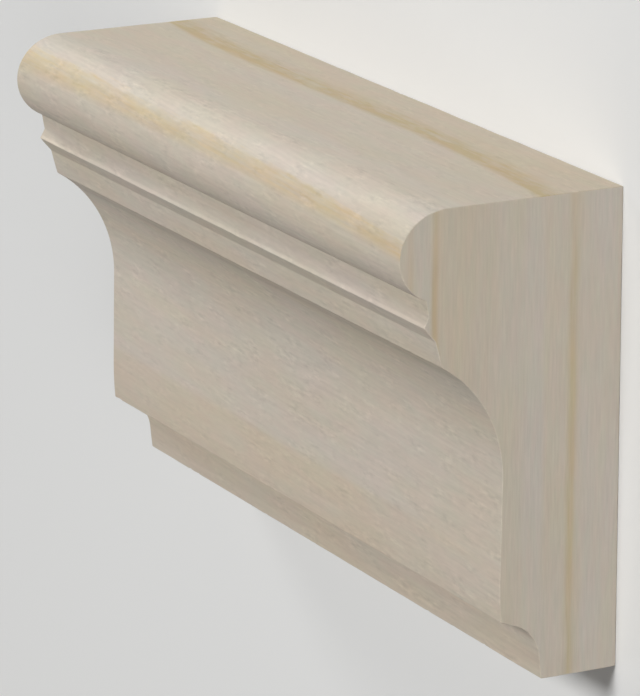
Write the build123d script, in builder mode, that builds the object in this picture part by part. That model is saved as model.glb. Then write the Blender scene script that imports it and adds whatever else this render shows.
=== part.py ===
"""Cornice moulding: a short length of solid timber, run to one profile and cut square at both ends.

The piece lies on its flat back. X runs along the grain, Y runs across the moulding from its bottom
edge to its top edge, and Z runs out from the back to the nose. The origin is the centre of the back.
Sizes are in millimetres and angles in degrees. The section is drawn as (Y, Z) points.
"""

from build123d import *

import os
from math import cos, radians, sin, sqrt

# Overall sizes: the cut length, the back's height and how far the nose stands out from the back
length = 200.0
height = 110.0
projection = 55.0

# Nose: a half-round edge, slightly flattened, under the flat top
nose_thickness = 21.2
nose_reach = 11.9

# Neck: the narrow slanted flat that the nose overhangs, measured where it meets the bead
nose_overhang = 7.2
neck_height = 2.55
neck_lean = 10.4

# Bead: the small sharp ridge under the neck
bead_projection = 1.3
bead_rise = 2.2
bead_fall = 3.4
bead_root_radius = 0.8

# Band: the slanted flat between the bead and the cove
band_step = 1.65
band_height = 5.95
band_slant = 1.6

# Cove and face: one hollow sweep that runs into a face with a slight forward lean and a bowed lower part
cove_radius = 31.4
face_lean = 1.0
face_edge_lean = 5.0
face_bow_radius = 95.0
face_edge_height = 14.6
face_edge_depth = 29.35

# Hollow and foot: the undercut below the face, and the narrow foot that it runs down into
hollow_height = 11.2
hollow_depth = 20.3
hollow_radius = 9.0
foot_depth = 19.1

# Arris: the softening that sanding leaves on each outer edge along the grain
arris_radius = 0.3

top = height / 2
bottom = -height / 2

# The nose's centre, and the levels that step down from its underside
nose_centre = Vector(top - nose_thickness / 2, projection - nose_reach)
neck_foot = Vector(top - nose_thickness - neck_height, projection - nose_overhang)
bead_tip = neck_foot + Vector(-bead_rise, bead_projection)
band_top = bead_tip + Vector(-bead_fall, -bead_projection - band_step)
band_edge = band_top + Vector(-band_height, -band_slant)

# The face's lower edge and the straight line that the face follows above its bow
face_edge = Vector(bottom + face_edge_height, face_edge_depth)
edge_heading = Vector(cos(radians(face_edge_lean)), sin(radians(face_edge_lean)))
face_heading = Vector(cos(radians(face_lean)), -sin(radians(face_lean)))
face_normal = Vector(sin(radians(face_lean)), cos(radians(face_lean)))

# The hollow's corner before it is rounded, and the foot's outer edge
hollow_corner = Vector(bottom + hollow_height, hollow_depth)
foot_edge = Vector(bottom, foot_depth)


def cove_start(bow_end):
    """The point on the face where a cove of the set radius leaves it and still ends at the band's edge."""
    across = (band_edge - bow_end).dot(face_normal)
    along = (band_edge - bow_end).dot(face_heading)
    return bow_end + face_heading * (along - sqrt(across * (2 * cove_radius - across)))


def nearest(sketch, points):
    """The sketch's vertex at each of the points."""
    return [sketch.vertices().sort_by_distance(point)[0] for point in points]


with BuildPart() as moulding:
    with BuildSketch(Plane.YZ.offset(-length / 2)) as section:
        with BuildLine() as outline:
            # Back, foot and undercut, from the nose's level down and round to the face's lower edge
            back_and_foot = Polyline(
                (nose_centre.X, 0), (bottom, 0), foot_edge, hollow_corner, face_edge
            )
            # Face and cove
            bow = JernArc(face_edge, edge_heading, face_bow_radius, -face_edge_lean - face_lean)
            face = Line(bow @ 1, cove_start(bow @ 1))
            cove = TangentArc(face @ 1, band_edge, tangent=face_heading)
            # Band and bead, then the neck, which runs on up inside the nose
            steps = Polyline(band_edge, band_top, bead_tip, neck_foot)
            neck = PolarLine(
                neck_foot,
                nose_centre.X - neck_foot.X,
                neck_lean,
                length_mode=LengthMode.HORIZONTAL,
            )
            closing = Line(neck @ 1, back_and_foot @ 0)
        make_face()
        # Flat top with the nose on its front edge
        with Locations((nose_centre.X, nose_centre.Y / 2)):
            Rectangle(nose_thickness, nose_centre.Y)
        with Locations(nose_centre):
            Ellipse(nose_thickness / 2, nose_reach)
        fillet(nearest(section, [hollow_corner]), hollow_radius)
        fillet(nearest(section, [band_top]), bead_root_radius)
        outer_edges = [(bottom, 0), foot_edge, face_edge, band_edge, bead_tip, (top, 0)]
        fillet(nearest(section, outer_edges), arris_radius)
    extrude(amount=length)

moulding.part.label = "cornice_moulding"

os.makedirs("parts", exist_ok=True)
export_step(moulding.part, "parts/cornice_moulding.step")

box = moulding.part.bounding_box()
print("box", box.min, box.max, "volume", round(moulding.part.volume))
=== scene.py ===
# %% [markdown]
# # A short length of cornice moulding
#
# The real thing is one stick of pale softwood. A moulder planes the whole profile along the grain in
# one pass, and a saw then cuts the stick square. The packed frame already holds that solid at its
# real size, so this lesson adds what a stock solid lacks: curves without facets, edges that have been
# sanded and handled, and wood that looks as if it grew.
# Every length is in metres. X runs along the grain, Y from the bottom edge to the top edge, and Z out
# from the flat back, on which the piece lies.

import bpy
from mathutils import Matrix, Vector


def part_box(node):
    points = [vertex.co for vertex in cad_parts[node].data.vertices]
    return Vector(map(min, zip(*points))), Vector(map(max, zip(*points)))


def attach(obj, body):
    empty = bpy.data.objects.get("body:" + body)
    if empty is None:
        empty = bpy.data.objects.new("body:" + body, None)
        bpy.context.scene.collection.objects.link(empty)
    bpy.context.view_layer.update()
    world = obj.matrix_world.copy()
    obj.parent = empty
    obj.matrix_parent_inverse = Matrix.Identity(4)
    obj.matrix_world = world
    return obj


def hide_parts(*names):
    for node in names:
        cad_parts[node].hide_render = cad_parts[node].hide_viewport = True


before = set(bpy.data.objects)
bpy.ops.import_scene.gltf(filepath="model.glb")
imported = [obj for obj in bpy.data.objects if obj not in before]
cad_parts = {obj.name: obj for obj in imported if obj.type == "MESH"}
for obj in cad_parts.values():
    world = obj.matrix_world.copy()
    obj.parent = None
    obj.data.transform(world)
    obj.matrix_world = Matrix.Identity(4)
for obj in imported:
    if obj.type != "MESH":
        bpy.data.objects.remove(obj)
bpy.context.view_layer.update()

# %% [markdown]
# ## Read the section
#
# A moulding is its section, drawn once and run along the grain. The frame holds the section twice, as
# the two flat ends. One end is made of triangles, and a side that only one triangle uses lies on the
# outline, so walking along such sides gives the outline in order. Reading it here is better than
# typing it again, because the two can then never disagree.

# %% Find the outline of one end
import math

import bmesh
import bpy
from mathutils import Matrix, Vector, geometry, noise

MM = 0.001
SAME_PLACE = 0.001 * MM
DIGITS = 7
NODE = "cornice_moulding"
low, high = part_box(NODE)


def end_outline(mesh, end_x):
    """The outline of the flat end at end_x as 2-D points (y, z), counter-clockwise seen from +X."""
    on_end = [v for v in mesh.vertices if abs(v.co.x - end_x) < SAME_PLACE]
    spots = {v.index: (round(v.co.y, DIGITS), round(v.co.z, DIGITS)) for v in on_end}
    sides = set()
    for face in mesh.polygons:
        ring = [spots.get(index) for index in face.vertices]
        if None not in ring:
            sides.update(zip(ring, ring[1:] + ring[:1]))
    following = {a: b for a, b in sides if (b, a) not in sides}
    walk = [min(following, key=lambda spot: (spot[1], spot[0]))]
    while following[walk[-1]] != walk[0]:
        walk.append(following[walk[-1]])
    points = [Vector(spot) for spot in walk]
    area = sum(a.cross(b) for a, b in zip(points, points[1:] + points[:1]))
    return points if area > 0 else points[::-1]


facets = end_outline(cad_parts[NODE].data, low.x)
print("outline of", len(facets), "points")

# %% [markdown]
# ## Take the facets out of the curves
#
# The packed outline has straight sides where the cutter left arcs. Each side becomes a Bézier curve
# that leaves and meets its points in the outline's own direction. On an arc that direction lies
# between the two sides at the point. Where a long flat runs into an arc it is the flat's, and at a
# true corner each side keeps its own. Flats get a point close to each end, which holds the soft
# shading of the rounded edge beside them within a fraction of a millimetre. Only a shallow inner
# corner, such as the one above the bead, gets none: a worn cutter leaves it as a soft hollow.

# %% Find the outline's direction at each point
CORNER_TURN = math.radians(20)
SOFT_TURN = math.radians(45)
FLAT_RATIO = 1.5


def directions(points):
    """The outline's direction at each point, or None at a true corner."""
    found = []
    for k, point in enumerate(points):
        before = point - points[k - 1]
        after = points[(k + 1) % len(points)] - point
        if before.angle(after) > CORNER_TURN:
            found.append(None)
        elif before.length > FLAT_RATIO * after.length:
            found.append(before.normalized())
        elif after.length > FLAT_RATIO * before.length:
            found.append(after.normalized())
        else:
            between = before.normalized() * after.length + after.normalized() * before.length
            found.append(between.normalized())
    return found


def soft_corners(points, heading):
    """The numbers of the shallow inner corners."""
    found = set()
    for k, point in enumerate(points):
        inward = (point - points[k - 1]).angle_signed(points[(k + 1) % len(points)] - point)
        if heading[k] is None and 0 < inward < SOFT_TURN:
            found.add(k)
    return found


heading = directions(facets)
soft = soft_corners(facets, heading)
print(heading.count(None), "true corners,", len(soft), "of them shallow inner ones")

# %% Curve the outline
BEND = math.radians(0.2)
CURVE_STEP = 0.5 * MM
FLAT_STEP = 2.5 * MM
HOLD = 0.12 * MM
LEAST_FLAT = 4 * HOLD
LEAST_GAP = HOLD / 2


def evenly_bent(direction, side):
    """The direction at the other end of a side that bends evenly and starts in the direction given."""
    along = side.normalized()
    return 2 * along.dot(direction) * along - direction if direction else along


def smooth_outline(points, heading, soft):
    """The outline with curves in place of facets, and the numbers of its points at sharp corners."""
    smooth, corners = [], []
    for k, start in enumerate(points):
        after = (k + 1) % len(points)
        end, side = points[after], points[after] - start
        leave = heading[k] or evenly_bent(heading[after], side)
        arrive = heading[after] or evenly_bent(heading[k], side)
        if heading[k] is None and k not in soft:
            corners.append(len(smooth))
        if leave.angle(arrive) > BEND:
            steps = math.ceil(side.length / CURVE_STEP)
            third = side.length / 3
            pulls = start + leave * third, end - arrive * third
            curve = geometry.interpolate_bezier(start, *pulls, end, steps + 1)
            smooth += [Vector(spot[:2]) for spot in curve[:-1]]
        elif side.length > LEAST_FLAT:
            first = 0.0 if k in soft else HOLD
            last = side.length if after in soft else side.length - HOLD
            steps = math.ceil((last - first) / FLAT_STEP)
            reaches = [first + (last - first) * step / steps for step in range(steps + 1)]
            inner = [r for r in reaches if LEAST_GAP < r < side.length - LEAST_GAP]
            smooth += [start] + [start + side.normalized() * r for r in inner]
        else:
            smooth.append(start)
    return smooth, corners


outline, corners = smooth_outline(facets, heading, soft)
print("smoothed to", len(outline), "points, with", len(corners), "sharp corners")

# %% [markdown]
# ## Run the section along the grain
#
# Blender could sweep this outline with a curve's bevel object, but then every ring would be the same.
# Real timber isn't like that: the saw leaves the end a little soft, and sanding and handling take more
# off an arris here than there. So the rings are placed in code. Each ring is the outline drawn in
# along its own normals by a small depth, and only ever inwards, because nothing may stand proud of
# the stock.

# %% Find the outward normals and the arrises
ARRIS_REACH = 0.5 * MM
ARRIS_TURN = math.radians(60)


def outward_normals(points):
    """Unit normals of a counter-clockwise outline, pointing out of the wood."""
    found = []
    for k in range(len(points)):
        along = points[(k + 1) % len(points)] - points[k - 1]
        found.append(Vector((along.y, -along.x)).normalized())
    return found


def nearby(points, k):
    """The numbers of the outline's points within reach of point k, itself included."""
    count = len(points)
    found = [k]
    for way in (1, -1):
        other = (k + way) % count
        while (points[other] - points[k]).length < ARRIS_REACH:
            found.append(other)
            other = (other + way) % count
    return found


def arris_weights(points):
    """How much of an arris each point is: 1 where the outline turns outwards sharply, 0 on a flat."""
    headings = [points[(k + 1) % len(points)] - points[k] for k in range(len(points))]
    turns = [-headings[k - 1].angle_signed(headings[k]) for k in range(len(points))]
    turned = [sum(turns[other] for other in nearby(points, k)) for k in range(len(points))]
    return [min(1.0, max(0.0, turn / ARRIS_TURN)) for turn in turned]


normals = outward_normals(outline)
around = [[normals[other] for other in nearby(outline, k)] for k in range(len(outline))]
bisectors = [sum(directions_near, Vector((0, 0))).normalized() for directions_near in around]
arris = arris_weights(outline)
print("points on a full arris:", sum(weight == 1 for weight in arris))

# %% Choose where the rings stand
END_RADIUS = 0.18 * MM
END_STEPS = 4
QUARTER_TURN = math.radians(90)
RING_STEP = 0.95 * MM


def ring_places():
    """Each ring's place along the grain, and how far the end's rounding draws it in."""
    angles = [QUARTER_TURN * step / END_STEPS for step in range(END_STEPS + 1)]
    quarter = [(END_RADIUS * (1 - math.cos(a)), END_RADIUS * (1 - math.sin(a))) for a in angles]
    quarter.append((END_RADIUS + HOLD, 0.0))
    start, stop = low.x + quarter[-1][0], high.x - quarter[-1][0]
    steps = round((stop - start) / RING_STEP)
    between = [(start + (stop - start) * step / steps, 0.0) for step in range(1, steps)]
    left = [(low.x + along, inset) for along, inset in quarter]
    right = [(high.x - along, inset) for along, inset in reversed(quarter)]
    return left + between + right


rings = ring_places()
print(len(rings), "rings")

# %% [markdown]
# ## Wear, in real geometry
#
# Sanding never leaves a face dead flat or an arris dead straight. Three smooth noises say how much
# wood has gone: a long shallow wave on every face, a shorter one on the arrises, and a few small
# dents where an arris has been knocked. A bump in the material would be quicker, but it leaves the
# outline straight. Real points that have moved by a fraction of a millimetre make a highlight wander
# along an edge as it does on real timber.

# %% Say how deep the wear is
WAVE_DEPTH, WAVE_SIZE, WAVE_SEED = 0.05 * MM, Vector((60, 14, 14)) * MM, 3.1
RUB_DEPTH, RUB_SIZE, RUB_SEED = 0.09 * MM, Vector((9, 5, 5)) * MM, 11.7
RUB_EVEN, RUB_UNEVEN = 0.4, 0.6
DENT_DEPTH, DENT_SIZE, DENT_SEED = 0.3 * MM, Vector((2.6, 4, 4)) * MM, 27.3
DENT_SHARE = 0.42
END_VARIETY, END_SIZE, END_SEED = 0.25, Vector((5, 3, 3)) * MM, 41.9


def wander(place, size, seed):
    """Smooth noise from -1 to 1 whose waves are about the size given along each axis."""
    return noise.noise(Vector(p / s for p, s in zip(place, size)) + Vector((seed, seed, seed)))


def wave(place):
    """How far the planed surface lies inside the stock, in metres."""
    return WAVE_DEPTH * (1 + wander(place, WAVE_SIZE, WAVE_SEED)) / 2


def arris_wear(place):
    """How much more has gone from an arris, in metres."""
    rub = RUB_DEPTH * (RUB_EVEN + RUB_UNEVEN * wander(place, RUB_SIZE, RUB_SEED))
    dent = DENT_DEPTH * (wander(place, DENT_SIZE, DENT_SEED) - DENT_SHARE) / (1 - DENT_SHARE)
    return max(0.0, rub) + max(0.0, dent)


def deepest_wear():
    """The most that any point of the stick loses to the wave and the arris wear, in millimetres."""
    deepest = 0.0
    for x, _ in rings:
        for spot, weight in zip(outline, arris):
            place = Vector((x, spot.x, spot.y))
            deepest = max(deepest, wave(place) + weight * arris_wear(place))
    return deepest / MM


print("the deepest wear is", round(deepest_wear(), 2), "mm")

# %% Draw one ring
def ring_points(x, inset):
    """The 3-D points of one ring."""
    points = []
    for spot, normal, bisector, weight in zip(outline, normals, bisectors, arris):
        place = Vector((x, spot.x, spot.y))
        softness = 1 + END_VARIETY * wander(place, END_SIZE, END_SEED)
        drawn = spot - normal * (inset * softness + wave(place)) - bisector * (weight * arris_wear(place))
        points.append((x, drawn.x, drawn.y))
    return points


print("the middle ring starts at", [round(c / MM, 2) for c in ring_points(x=0, inset=0)[0]], "mm")

# %% [markdown]
# ## Join the rings
#
# A face between each point of one ring and the next makes the long surfaces. They are shaded smooth,
# apart from the sharp corners, whose edges are marked so that the light breaks there as it does on cut
# wood. Each end is one flat face with a material of its own, split into triangles because its outline
# is hollow in places.

# %% Build the stick
def run_moulding():
    """The moulding's mesh: rings joined by long faces, with a flat face on each end."""
    mesh = bpy.data.meshes.new("moulding")
    form = bmesh.new()
    grid = [[form.verts.new(point) for point in ring_points(x, inset)] for x, inset in rings]
    count = len(outline)
    for ring, onward in zip(grid, grid[1:]):
        for k in range(count):
            after = (k + 1) % count
            form.faces.new((ring[k], ring[after], onward[after], onward[k])).smooth = True
        for k in corners:
            form.edges.get((ring[k], onward[k])).smooth = False
    ends = [form.faces.new(grid[0][::-1]), form.faces.new(grid[-1])]
    for end in ends:
        end.material_index = 1
        end.normal_update()
    bmesh.ops.triangulate(form, faces=ends, ngon_method="EAR_CLIP")
    bmesh.ops.recalc_face_normals(form, faces=form.faces)
    form.to_mesh(mesh)
    form.free()
    stick = bpy.data.objects.new("moulding", mesh)
    bpy.context.scene.collection.objects.link(stick)
    return stick


moulding = run_moulding()
print("moulding:", len(moulding.data.polygons), "faces")
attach(moulding, "root")
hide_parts(NODE)

# %% [markdown]
# ## A way to write shader maths
#
# A wood shader is mostly arithmetic on positions, and a node tree hides arithmetic well. This small
# class wraps a socket so that Python's own operators add the nodes: `1 - mask` makes a Math node, a
# product of colours makes a Mix node, and one of vectors a Vector Math node. Every other node comes
# from `node`, which takes the node's type, its settings, and what goes into its sockets.

# %% Wrap a socket
NOISE_ROUGHNESS, NOISE_MIDDLE, NOISE_STRETCH = 0.55, 0.5, 4
SEED_TURN = (1.0, 1.7, 2.3)


def as_default(value, socket):
    """A number or a tuple in the form that an unlinked socket takes; colours are opaque."""
    if socket.type not in ("VECTOR", "RGBA"):
        return value
    parts = [value, value, value] if isinstance(value, (int, float)) else list(value)
    return parts + [1.0] if socket.type == "RGBA" else parts


class Wire:
    """A node's output socket that can be used in a Python expression."""

    def __init__(self, socket):
        self.socket = socket

    def node(self, kind, settings=None, inputs=None, output=None):
        """A new node in this wire's tree; its settings are made first, then its sockets are filled."""
        new = self.socket.id_data.nodes.new(kind)
        for name, value in (settings or {}).items():
            setattr(new, name, value)
        for name, value in (inputs or {}).items():
            socket = next(s for s in new.inputs if s.identifier == name)
            if isinstance(value, Wire):
                self.socket.id_data.links.new(value.socket, socket)
            else:
                socket.default_value = as_default(value, socket)
        chosen = [s for s in new.outputs if output in (None, s.identifier)]
        return Wire(chosen[0])

    def out(self, name):
        """Another output of the same node."""
        return Wire(self.socket.node.outputs[name])

    def feeds(self, shader, name):
        """Links this wire to a shader's socket."""
        self.socket.id_data.links.new(self.socket, shader.inputs[name])

    def combine(self, operation, first, second):
        """Joins two values, vectors or colours, at least one of which is a wire."""
        kinds = {term.socket.type for term in (first, second) if isinstance(term, Wire)}
        if "RGBA" in kinds:
            settings = {"data_type": "RGBA", "blend_type": operation}
            inputs = {"Factor_Float": 1.0, "A_Color": first, "B_Color": second}
            return self.node("ShaderNodeMix", settings, inputs, "Result_Color")
        if "VECTOR" in kinds:
            inputs = {"Vector": first, "Vector_001": second}
            return self.node("ShaderNodeVectorMath", {"operation": operation}, inputs)
        inputs = {"Value": first, "Value_001": second}
        return self.node("ShaderNodeMath", {"operation": operation}, inputs)

    def __add__(self, other):
        return self.combine("ADD", self, other)

    def __radd__(self, other):
        return self.combine("ADD", other, self)

    def __sub__(self, other):
        return self.combine("SUBTRACT", self, other)

    def __rsub__(self, other):
        return self.combine("SUBTRACT", other, self)

    def __mul__(self, other):
        return self.combine("MULTIPLY", self, other)

    def __rmul__(self, other):
        return self.combine("MULTIPLY", other, self)

    def split(self):
        """This vector's three parts."""
        first = self.node("ShaderNodeSeparateXYZ", {}, {"Vector": self})
        return first, first.out("Y"), first.out("Z")

    def rise(self, start, stop):
        """A soft step: 0 before start, 1 past stop. With start above stop it falls instead."""
        inputs = {"Value": self, "From Min": start, "From Max": stop}
        return self.node("ShaderNodeMapRange", {"interpolation_type": "SMOOTHSTEP"}, inputs)

    def band(self, start, full, fading, end):
        """A soft band: 0 before start, 1 from full to fading, and 0 past end."""
        return self.rise(start, full) * self.rise(end, fading)

    def tint(self, colour, share):
        """The colour given, times the share given where this mask is 1."""
        return self.blend(colour, colour * share)

    def blend(self, from_colour, to_colour):
        """Goes from one colour to the other as this mask goes from 0 to 1."""
        inputs = {"Factor_Float": self, "A_Color": from_colour, "B_Color": to_colour}
        return self.node("ShaderNodeMix", {"data_type": "RGBA"}, inputs, "Result_Color")

    def noise(self, size, seed, detail=2.0):
        """Smooth noise from about -1 to 1 over this place, with features of the size given."""
        place = self * tuple(1 / s for s in size) + tuple(seed * turn for turn in SEED_TURN)
        inputs = {"Vector": place, "Scale": 1.0, "Detail": detail, "Roughness": NOISE_ROUGHNESS}
        return (self.node("ShaderNodeTexNoise", {}, inputs) - NOISE_MIDDLE) * NOISE_STRETCH


print("a wire can", [name for name in vars(Wire) if not name.startswith("_")])

# %% [markdown]
# ## The wood
#
# Pale softwood is nearly one colour, and what makes it wood is small. An image of real wood would be
# the quick way, but it would stretch over the curves and stop at the edges. Masks made from the place
# in the wood run on unbroken from one face to the next, as real grain does. Colours are written as the
# linear red, green and blue that the shader takes, and tints are shares of the colour under them.

# %% Choose the colours
PALE = (0.56, 0.492, 0.404)
PINK, GREEN = (1.018, 0.990, 0.992), (0.985, 1.009, 0.995)
STRAW, GREY = (1.006, 1.0, 0.975), (0.994, 1.0, 1.025)
TINT_EDGE = 0.8


def tinted(place, warmth_size, tint_size):
    """The bare wood's colour with slow tints, because an even colour reads as paint."""
    warmth = place.noise(warmth_size, seed=21.6, detail=1).rise(-TINT_EDGE, TINT_EDGE)
    tint = place.noise(tint_size, seed=33.1).rise(-TINT_EDGE, TINT_EDGE)
    return warmth.blend(STRAW, GREY) * tint.blend(PINK, GREEN) * PALE


print("bare wood:", PALE)

# %% [markdown]
# ## Two kinds of surface from one wood
#
# The stick is one wood that two tools have cut, so its materials differ in pattern and share the rest.
# A copy of a finished material would need each later correction twice. Two helpers avoid that: one
# starts a material, and the other sends the finished colour, roughness and relief to its shader.

# %% Start and finish a wood material
BARE_SHINE = 0.18


def new_wood(name):
    """A material, and the place of each point of its surface in millimetres."""
    material = bpy.data.materials.new(name)
    material.use_nodes = True
    coordinates = material.node_tree.nodes.new("ShaderNodeTexCoord")
    return material, Wire(coordinates.outputs["Object"]) * (1 / MM)


def finish_wood(material, colour, roughness, relief, depth):
    """Gives the material's shader its colour, its roughness and a fine relief of the depth given."""
    shader = material.node_tree.nodes["Principled BSDF"]
    colour.feeds(shader, "Base Color")
    roughness.feeds(shader, "Roughness")
    inputs = {"Height": relief, "Strength": 1.0, "Distance": depth}
    relief.node("ShaderNodeBump", {}, inputs).feeds(shader, "Normal")
    shader.inputs["Specular IOR Level"].default_value = BARE_SHINE
    print(material.name, "has", len(material.node_tree.nodes), "nodes")


print("bare wood shines with a level of", BARE_SHINE)

# %% [markdown]
# ## Grain of the planed faces
#
# The cutter opens the wood's fibres, and they show as flecks a few millimetres long that gather in
# patches, among longer, fainter hairs. A wave texture would space them evenly, so they are noises here.
# The grain of this stick isn't quite parallel to the stick, so the pattern is read in a place that
# drifts across it along the length. The sizes are millimetres along, up and out, so a long first
# number draws a noise out into grain.

# %% Fine grain
DRIFT_UP, DRIFT_OUT = 0.03, -0.03
FLECK, HAIR, PATCH = (3.2, 0.95, 0.95), (16, 0.85, 0.85), (9, 3.2, 3.2)
PATCH_EDGES = (-0.3, 0.9)
FLECK_EVERYWHERE, FLECK_IN_PATCH, HAIR_SHARE = 0.28, 1.1, 0.5

planed, place = new_wood("planed_softwood")
x, y, z = place.split()
drifted = {"X": x, "Y": y + x * DRIFT_UP, "Z": z + x * DRIFT_OUT}
grain_place = x.node("ShaderNodeCombineXYZ", {}, drifted)
patches = grain_place.noise(PATCH, seed=31.4, detail=1).rise(*PATCH_EDGES)
flecks = grain_place.noise(FLECK, seed=5.2) * (FLECK_EVERYWHERE + patches * FLECK_IN_PATCH)
grain = flecks + grain_place.noise(HAIR, seed=8.4) * HAIR_SHARE
print("flecks of", FLECK[0], "by", FLECK[1], "mm in patches of", PATCH[0], "by", PATCH[1], "mm")

# %% Slower unevenness
CLOUD, STRAND, RAGGED = (60, 9, 9), (26, 0.9, 0.9), (7, 2, 2)
WARMTH, TINT = (40, 9, 9), (14, 4, 4)

clouds = grain_place.noise(CLOUD, seed=14.3, detail=1)
strands = grain_place.noise(STRAND, seed=47.2)
ragged = grain_place.noise(RAGGED, seed=53.8)
colour = tinted(grain_place, WARMTH, TINT)
print("strands of", STRAND[0], "mm, and tints over", TINT[0], "to", WARMTH[0], "mm")

# %% [markdown]
# ## Where the colour leans
#
# A board is cut from many years of growth, so its colour leans slowly from one edge to the other. This
# stick is cooler from the cove down, turns to straw near its foot, and is warm along the back of its
# top. Along the front of the top a paler tint is a painted highlight, where the nose's sheen begins. One
# ramp up the height would be shorter to write, but the top leans from back to front instead. So each of
# these is a soft step across the section, in millimetres.

# %% Tint the board from top to foot
ON_TOP = (50, 54)
COOL_BELOW, COOL = (10, -6), (0.998, 1.008, 1.035)
STRAW_BELOW, LOW_STRAW = (-26.0, -28.6), (0.985, 0.955, 0.905)
STRAW_CLOUDS, STRAW_STRANDS = 1.2, 0.5
STRAW_FADES, STRAW_LOSS = (30, 110), 0.5
WARM_BACK, BACK_WARMTH = (14, 9), (0.99, 0.975, 0.935)
# The front's paler tint is a painted highlight.
PALE_FRONT, FRONT_PAINTED_HIGHLIGHT = (33, 41), (1.03, 1.04, 1.065)

colour = y.rise(*COOL_BELOW).tint(colour, COOL)
straw = (y + clouds * STRAW_CLOUDS + strands * STRAW_STRANDS).rise(*STRAW_BELOW)
colour = (straw * (1 - x.rise(*STRAW_FADES) * STRAW_LOSS)).tint(colour, LOW_STRAW)
on_top = y.rise(*ON_TOP)
colour = (z.rise(*WARM_BACK) * on_top).tint(colour, BACK_WARMTH)
# A painted highlight: the front of the top and the top of the nose are paler, where the nose's sheen
# begins.
colour = (z.rise(*PALE_FRONT) * on_top).tint(colour, FRONT_PAINTED_HIGHLIGHT)
print("straw below", STRAW_BELOW[0], "mm")

# %% [markdown]
# ## Growth lines
#
# Each year's growth ends in a line that is soft on one side, where the wood slowly darkens, and sharp
# on the other, where the next spring's pale wood starts. The cutter met one such line on the top and
# one on the nose, at a slant, so they show as long golden streaks with ragged strands. Drawing them by
# hand would need an image. Here their course is a short formula in the run along the stick, which goes
# from -1 at the left end to 1 at the right end. Three slow noises make the course and the strength
# uneven, each by its own share.

# %% Helpers for a growth line
HALF_LENGTH = high.x / MM
run = x * (1 / HALF_LENGTH)


def curve_along(run, terms):
    """A polynomial of the run along the stick, for a number or a wire."""
    total = terms[-1]
    for term in reversed(terms[:-1]):
        total = total * run + term
    return total


def unevenly(even, by_clouds, by_strands, by_ragged):
    """The even value given, moved by each of the three slow noises by its own share."""
    return even + clouds * by_clouds + strands * by_strands + ragged * by_ragged


def growth_line(distance, before, after):
    """Rises over the millimetres before the line, and falls over those after it."""
    return distance.band(-before, 0, 0, after)


def course_at_ends(terms):
    """Where a course lies at the left end, in the middle and at the right end, to print."""
    return [round(curve_along(end, terms), 1) for end in (-1, 0, 1)]


print("the run is the place along the stick over", round(HALF_LENGTH, 1), "mm")

# %% The streak on the top
TOP_GOLD = (0.90, 0.815, 0.60)
TOP_COURSE, TOP_WANDER = (14.7, -0.4, 2.1, 4.1, -1.2), (0.3, 0.35, 0.45)
TOP_CORE, CORE_STRENGTH = (3.4, 2.2), (0.42, 0, 0, 0.3)
TOP_GLOW, GLOW_STRENGTH = (-6.5, -2.5, 1.2, 2.8), (0.55, 0, 0.3, 0.2)

distance = unevenly(z - curve_along(run, TOP_COURSE), *TOP_WANDER)
core = growth_line(distance, *TOP_CORE) * unevenly(*CORE_STRENGTH)
glow = distance.band(*TOP_GLOW) * unevenly(*GLOW_STRENGTH)
colour = ((core + glow) * on_top).tint(colour, TOP_GOLD)
print("the top's streak lies", course_at_ends(TOP_COURSE), "mm from the back")

# %% The streak on the nose
NOSE_GOLD = (0.985, 0.885, 0.65)
NOSE_COURSE, NOSE_WANDER = (50.3, -0.8, -1.5, -1.1), (0.3, 0.5, 0.35)
NOSE_BAND, NOSE_STRENGTH = (-2.4, -1.0, 1.4, 3.8), (0.58, 0, 0.32, 0.22)
NARROWING, ON_FRONT = (1.1, 0.2), (40, 44)

distance = unevenly(curve_along(run, NOSE_COURSE) - y, *NOSE_WANDER) * curve_along(run, NARROWING)
streak = distance.band(*NOSE_BAND) * z.rise(*ON_FRONT) * unevenly(*NOSE_STRENGTH)
colour = streak.tint(colour, NOSE_GOLD)
print("the nose's streak lies", course_at_ends(NOSE_COURSE), "mm up")

# %% [markdown]
# ## Painted highlight, light and shade
#
# The bead has a cooler, paler band with a painted highlight along its tip. Painted shade darkens the neck
# under the nose and the low part of the foot's hollow, and a painted shadow lies at the top of the cove
# under the band's edge. Painted light brightens the hollow just under the face. These are narrow bands
# here, because painting them in would tie the material to one mesh.

# %% Paint the bead's highlight, and light and shade in the recesses
# Spans and strengths of the bead's tint and painted highlight, and of the painted shade, shadow and
# light.
BEAD, BEAD_OUT, BEAD_HIGHLIGHT_TINT = (28.2, 29.0, 31, 33), (46, 47), (0.985, 1.0, 1.03)
TIP, TIP_OUT, TIP_PAINTED_HIGHLIGHT = (28.6, 29.1, 29.5, 30.0), (48, 48.6), 0.17
NECK, NECK_OUT, NECK_PAINTED_SHADE = (29.4, 31.8, 34.5, 35.5), (44, 46), 0.085
COVE_TOP, COVE_TOP_OUT, COVE_PAINTED_SHADOW = (14.7, 15.6, 16.3, 17.0), (36, 37), 0.09
FOOT, FOOT_PAINTED_SHADE = (-52.8, -51.4, -48.6, -47.4), 0.065
HOLLOW, HOLLOW_PAINTED_LIGHT, IN_FRONT = (-47.4, -46.6, -45.8, -44.6), 0.07, (10, 14)

# A cooler, paler band on the bead: the colour of the painted highlight on its tip.
colour = (y.band(*BEAD) * z.rise(*BEAD_OUT)).tint(colour, BEAD_HIGHLIGHT_TINT)
# Where the bead's tip gets its painted highlight.
tip = y.band(*TIP) * z.rise(*TIP_OUT)
# The neck under the nose, where painted shade falls.
neck = y.band(*NECK) * z.rise(*NECK_OUT)
# The top of the cove under the band's edge, where a painted shadow falls.
cove_top = y.band(*COVE_TOP) * z.rise(*COVE_TOP_OUT)
front = z.rise(*IN_FRONT)
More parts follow.
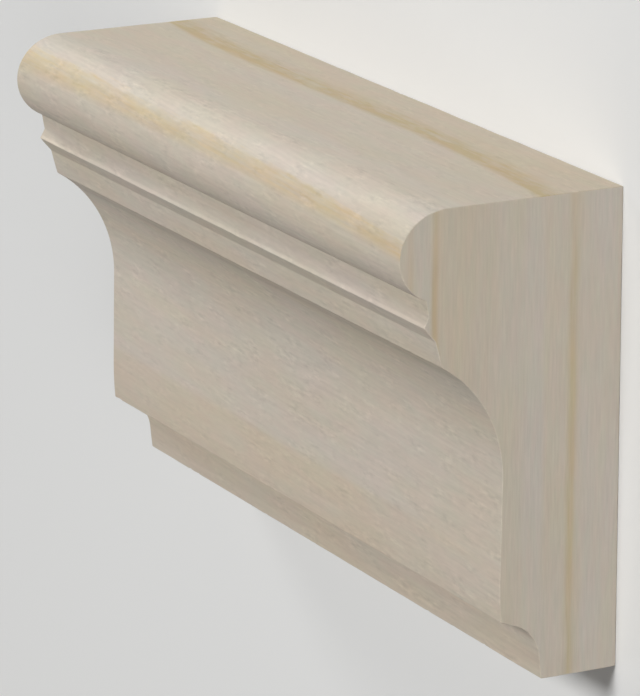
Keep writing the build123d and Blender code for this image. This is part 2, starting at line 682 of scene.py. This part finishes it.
# Painted shade: darker on the neck under the nose, at the top of the cove and low in the foot's hollow.
painted_shade = neck * NECK_PAINTED_SHADE + cove_top * COVE_PAINTED_SHADOW + y.band(*FOOT) * front * FOOT_PAINTED_SHADE
# Painted light: a painted highlight along the bead's tip, and a paler strip high in the foot's hollow,
# just under the face.
painted_light = tip * TIP_PAINTED_HIGHLIGHT + y.band(*HOLLOW) * front * HOLLOW_PAINTED_LIGHT
print("the bead's tip is paler by", TIP_PAINTED_HIGHLIGHT, "and the neck darker by", NECK_PAINTED_SHADE)

# %% [markdown]
# ## One tone for the planed faces
#
# Grain, clouds, and the painted highlight, light and shade all end in one number, by which the colour
# is multiplied. The grain is calmest on the flat top, and on the face below the cove it grows livelier
# towards the right end, because no two parts of a board show it alike. The same grain roughens the
# surface a little and raises it by about a hundredth or two of a millimetre, so that a low light catches
# it. Real points could do that too, but it would take millions of them.

# %% Finish the planed faces
GRAIN, CALM_TOP, TOP_OUT = 0.115, 0.4, (44, 40)
FACE, CALM_FACE, LIVELY_RIGHT = (-6, -18), 0.16, 0.2
CLOUD_TONE, NOSE_STRANDS = 0.008, 0.035
NOSE_UP, NOSE_OUT = (36, 42), (44, 48)
PLANED_ROUGHNESS, GRAIN_ROUGHNESS, GRAIN_DEPTH = 0.6, 0.03, 0.016 * MM

strength = 1 - on_top * z.rise(*TOP_OUT) * CALM_TOP - y.rise(*FACE) * (CALM_FACE - run * LIVELY_RIGHT)
nose = z.rise(*NOSE_OUT) * y.rise(*NOSE_UP)
tone = 1 + grain * strength * GRAIN + clouds * CLOUD_TONE + strands * nose * NOSE_STRANDS
# The painted highlight and light are added to the tone, and the painted shade and shadow are taken away.
tone = tone + painted_light - painted_shade
finish_wood(planed, colour * tone, PLANED_ROUGHNESS + grain * GRAIN_ROUGHNESS, grain, GRAIN_DEPTH)

# %% [markdown]
# ## Sawn ends
#
# The saw cuts across the fibres, so an end shows each year's growth as a fine stripe up the section,
# broken into short lengths by the saw. A wave texture would draw stripes too, but all of one width.
# Noise that is stretched up the section instead of along the stick varies as the years did.

# %% Stripes up the section
END_WOOD = (0.965, 0.974, 0.984)
STRIPE, BROAD_STRIPE, WOBBLE = (3, 8, 0.45), (3, 18, 1.4), (30, 20, 60)
END_WARMTH, END_TINT = (30, 34, 5), (6, 12, 1.8)

sawn, place = new_wood("sawn_softwood")
x, y, z = place.split()
stripes = place.noise(STRIPE, seed=3.7)
broad = place.noise(BROAD_STRIPE, seed=6.3, detail=1)
wobble = place.noise(WOBBLE, seed=17.5, detail=1)
colour = tinted(place, END_WARMTH, END_TINT) * END_WOOD
print("stripes", STRIPE[2], "mm wide and", STRIPE[1], "mm tall")

# %% Grey and straw columns
GREY_BACK, GREY_MIDDLE, END_GREY = (10.5, 8.5), (18.5, 20, 23, 25), (0.997, 1.012, 1.05)
STRAW_FRONT, END_STRAW = (30, 34, 46, 47.5), (0.99, 0.975, 0.945)

colour = (z.rise(*GREY_BACK) + z.band(*GREY_MIDDLE)).tint(colour, END_GREY)
colour = z.band(*STRAW_FRONT).tint(colour, END_STRAW)
print("straw from", STRAW_FRONT[0], "to", STRAW_FRONT[-1], "mm out")

# %% [markdown]
# ## Golden lines on the ends
#
# A growth line is the edge of a sheet in the wood. The saw cuts it squarely, so on an end it stands
# upright and nearly straight. One pattern through faces and ends would be truer to a tree, but then no
# line could be put where this stick shows it. So the ends have lines of their own, at places measured
# out from the back, which fade towards the top.

# %% Golden lines
BACK_LINE, BACK_LINE_SIDES, BACK_GOLD = 12.12, (2.0, 2.0), (0.93, 0.865, 0.69)
BACK_LINE_SHARE, BACK_LINE_BROAD = 0.72, 0.3
NOSE_LINE, NOSE_LINE_SIDES, NOSE_LINE_SHARE = 46.3, (1.5, 1.4), 0.95
OUTER_LINE, OUTER_LINE_SIDES, OUTER_LINE_SHARE = 52.1, (1.2, 1.2), 0.5
NOSE_LINE_GOLD = (0.93, 0.845, 0.675)
LINE_WOBBLE, LINE_RAGGED = 0.3, 0.12
PALE_ABOVE, LINE_LOSS = (32, 52), 0.5

course = z + wobble * LINE_WOBBLE
back_line = growth_line(course + stripes * LINE_RAGGED - BACK_LINE, *BACK_LINE_SIDES)
nose_line = growth_line(course + stripes * LINE_RAGGED - NOSE_LINE, *NOSE_LINE_SIDES)
outer_line = growth_line(course - OUTER_LINE, *OUTER_LINE_SIDES)
back_gold = back_line * (BACK_LINE_SHARE + broad * BACK_LINE_BROAD)
nose_gold = nose_line * NOSE_LINE_SHARE + outer_line * OUTER_LINE_SHARE
kept = 1 - y.rise(*PALE_ABOVE) * LINE_LOSS
colour = (back_gold * kept).tint(colour, BACK_GOLD)
colour = (nose_gold * kept).tint(colour, NOSE_LINE_GOLD)
print("golden lines", BACK_LINE, "and", NOSE_LINE, "and", OUTER_LINE, "mm from the back")

# %% Finish the sawn ends
STRIPE_TONE, BROAD_TONE = 0.05, 0.02
SAWN_ROUGHNESS, STRIPE_ROUGHNESS, SAW_DEPTH = 0.66, 0.03, 0.010 * MM

tone = 1 + stripes * STRIPE_TONE + broad * BROAD_TONE
finish_wood(sawn, colour * tone, SAWN_ROUGHNESS + stripes * STRIPE_ROUGHNESS, stripes, SAW_DEPTH)
moulding.data.materials.append(planed)
moulding.data.materials.append(sawn)
print("materials:", [m.name for m in moulding.data.materials])

# %% [markdown]
# ## The floor
#
# The piece lies on its back on pale paper. A lamp's light fades with distance, so a large floor would
# turn dark behind the piece. More light would burn out the wood, so the far floor glows a little
# instead, and only for what the camera sees, directly or in a reflection. No matt surface is lit by it.
# The paper lies a hair below the back, so that the two never share a plane.

# %% Lay the floor
PAPER = (0.80, 0.80, 0.79)
PAPER_SHINE, PAPER_ROUGHNESS = 0.2, 0.9
FLOOR_SIZE, FLOOR_GAP = 12, 0.02 * MM
FAR_FLOOR, FAR_GLOW = (0.7, 3.0), 0.33


def seen_by_camera(nodes):
    """1 for what the camera sees, straight or in gloss or glass, and 0 for light on matt things."""
    path = Wire(nodes.new("ShaderNodeLightPath").outputs["Is Camera Ray"])
    return path + path.out("Is Glossy Ray") + path.out("Is Transmission Ray")


def floor_paper():
    """Matt pale paper, with its far glow."""
    material = bpy.data.materials.new("floor_paper")
    material.use_nodes = True
    nodes = material.node_tree.nodes
    shader = nodes["Principled BSDF"]
    shader.inputs["Base Color"].default_value = (*PAPER, 1.0)
    shader.inputs["Roughness"].default_value = PAPER_ROUGHNESS
    shader.inputs["Specular IOR Level"].default_value = PAPER_SHINE
    shader.inputs["Emission Strength"].default_value = 1.0
    spot = Wire(nodes.new("ShaderNodeTexCoord").outputs["Object"])
    reach = spot.node("ShaderNodeVectorMath", {"operation": "LENGTH"}, {"Vector": spot}, "Value")
    glow = reach.rise(*FAR_FLOOR) * seen_by_camera(nodes) * FAR_GLOW
    glow.feeds(shader, "Emission Color")
    return material


bpy.ops.mesh.primitive_plane_add(size=FLOOR_SIZE, location=(0, 0, low.z - FLOOR_GAP))
floor = bpy.context.object
floor.name = "floor"
floor.data.materials.append(floor_paper())
print("floor of", FLOOR_SIZE, "m")

# %% [markdown]
# ## Light
#
# Soft light shows a moulding best, because every curve then has its own tone and no shadow hides the
# next one. A large key lamp hangs over the top edge, a low one grazes the nose from the left, and two
# weaker ones fill the end and the foot. They stand far off, so that the tone stays even along the
# stick. Small lamps would be simpler to place, but every step of the section would cut a hard shadow.

# %% Hang the lamps
LIGHT_DISTANCE = 3.2


def soft_light(name, elevation, azimuth, size, power):
    """A square soft light aimed at the piece, from degrees above the floor and round from +X."""
    rise, turn = math.radians(elevation), math.radians(azimuth)
    towards = Vector((math.cos(rise) * math.cos(turn), math.cos(rise) * math.sin(turn), math.sin(rise)))
    lamp = bpy.data.lights.new(name, "AREA")
    lamp.size, lamp.energy = size, power
    light = bpy.data.objects.new(name, lamp)
    light.location = towards * LIGHT_DISTANCE
    light.rotation_euler = towards.to_track_quat("Z", "Y").to_euler()
    bpy.context.scene.collection.objects.link(light)
    print(name, "of", power, "W at", [round(c, 2) for c in light.location])


soft_light("key", elevation=65, azimuth=75, size=1.0, power=71)
soft_light("rim", elevation=9, azimuth=150, size=0.9, power=44)
soft_light("end_fill", elevation=14, azimuth=0, size=1.5, power=38.5)
soft_light("foot_fill", elevation=32, azimuth=210, size=1.8, power=10)

# %% [markdown]
# ## The room
#
# Where a view passes over the floor's edge it meets the world, which stands for the studio's walls. Its
# light comes from everywhere and would wash the shadows out, so the wood gets very little of it. The
# camera sees it paler, and so do reflections, so that glossy things would mirror the same room.

# %% Paint the room
ROOM_LIGHT, ROOM_SEEN, WHITE = 0.03, 0.6, (1, 1, 1, 1)

world = bpy.data.worlds.new("studio")
world.use_nodes = True
room = world.node_tree.nodes["Background"]
strength = ROOM_LIGHT + seen_by_camera(world.node_tree.nodes) * (ROOM_SEEN - ROOM_LIGHT)
strength.feeds(room, "Strength")
room.inputs["Color"].default_value = WHITE
bpy.context.scene.world = world
print("the room lights at", ROOM_LIGHT, "and is seen at", ROOM_SEEN)

# %% [markdown]
# ## Camera
#
# The camera looks at the top edge, the face and the right end through a long lens, with the moulding's
# top edge up in the picture. Its place and angles were solved from the stick's own straight edges, so
# they are values here. Its axes are worked out from the two angles, because aiming it at a point would
# let the picture roll.

# %% Place the camera
SWING, TILT = math.radians(62.759), math.radians(15.661)
CAMERA_PLACE = Vector((1.00545, 0.31348, 0.54006))
FOCAL_PIXELS, PICTURE_HEIGHT, SENSOR = 5000.3, 696, 36.0
NEAR, FAR = 0.05, 50

lens = bpy.data.cameras.new("camera")
lens.sensor_width = SENSOR
lens.lens = SENSOR * FOCAL_PIXELS / PICTURE_HEIGHT
lens.clip_start, lens.clip_end = NEAR, FAR
camera = bpy.data.objects.new("camera", lens)
aim = -Vector((math.sin(SWING) * math.cos(TILT), math.sin(TILT), math.cos(SWING) * math.cos(TILT)))
right = Vector((math.cos(SWING), 0, -math.sin(SWING)))
up = right.cross(aim)
camera.matrix_world = Matrix.Translation(CAMERA_PLACE) @ Matrix((right, up, -aim)).transposed().to_4x4()
bpy.context.scene.collection.objects.link(camera)
bpy.context.scene.camera = camera
bpy.context.scene.view_settings.view_transform = "Standard"
print("a lens of", round(lens.lens, 1), "mm at", round(CAMERA_PLACE.length, 2), "m")

# %% [markdown]
# ## The size
#
# The visual stick may only lie inside the packed one, because the packed one is what other things are
# fitted to. Comparing the two by eye would miss a tenth of a millimetre.
